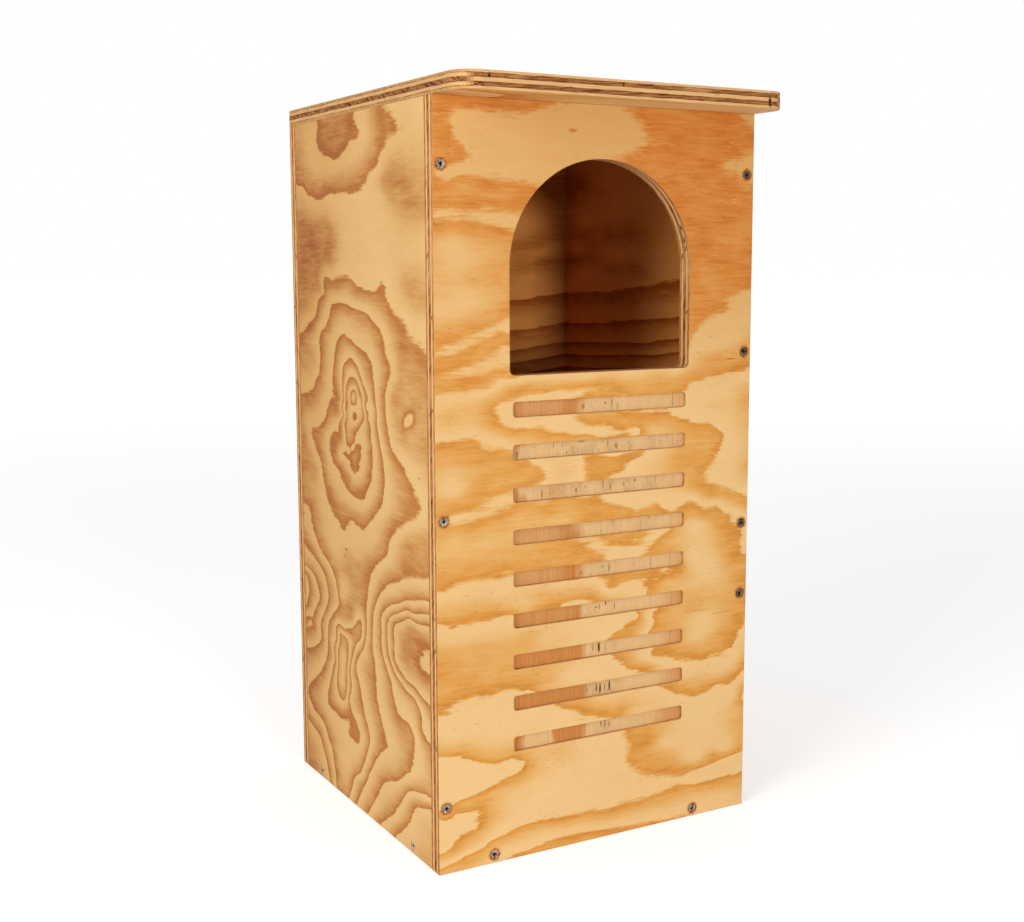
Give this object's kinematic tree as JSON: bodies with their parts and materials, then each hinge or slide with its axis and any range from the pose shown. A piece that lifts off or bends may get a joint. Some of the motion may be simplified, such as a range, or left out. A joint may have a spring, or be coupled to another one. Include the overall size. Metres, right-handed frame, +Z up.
{
  "type": "owl nest box",
  "caption": "Tall square plywood nest box with an arched entrance, ladder grooves, a flat roof over the front and a pivoting clean-out door in one side.",
  "frame": {"origin": "middle of the base, on the surface that the box stands on", "axes": "+Z up; the front panel with the entrance faces -Y; the clean-out door is on the +X side; the back panel with its two fixing holes faces +Y"},
  "size_m": [0.3325, 0.378, 0.675],
  "materials": {
    "wall_plywood": "clear-finished pine plywood",
    "door_plywood": "clear-finished pine plywood",
    "floor_plywood": "clear-finished pine plywood",
    "roof_plywood": "clear-finished pine plywood",
    "screw_steel": "plated steel, worn bright",
    "button_steel": "zinc-plated steel"
  },
  "bodies": {
    "box": {"front_panel": "wall_plywood", "back_panel": "wall_plywood", "left_side_panel": "wall_plywood", "right_side_panel": "wall_plywood", "floor_panel": "floor_plywood", "roof_panel": "roof_plywood", "front_left_screws": "screw_steel", "front_right_screws": "screw_steel", "front_floor_screws": "screw_steel", "back_left_screws": "screw_steel", "back_right_screws": "screw_steel", "back_floor_screws": "screw_steel", "left_floor_screws": "screw_steel", "roof_front_screws": "screw_steel", "roof_back_screws": "screw_steel", "roof_left_screws": "screw_steel", "roof_right_screws": "screw_steel", "turn_button_screw": "screw_steel"},
    "clean_out_door": {"clean_out_door": "door_plywood", "front_pivot_screw": "screw_steel", "back_pivot_screw": "screw_steel"},
    "turn_button": {"turn_button": "button_steel"}
  },
  "joints": [
    {"name": "door_swing", "type": "hinge", "parent": "box", "child": "clean_out_door", "pos_m": [0.1565, 0, 0.212], "axis": [0, -1, 0], "range_deg": [0, 150]},
    {"name": "button_turn", "type": "hinge", "parent": "box", "child": "turn_button", "pos_m": [0.1643, 0.1565, 0.07], "axis": [-1, 0, 0], "range_deg": [0, 180]}
  ]
}
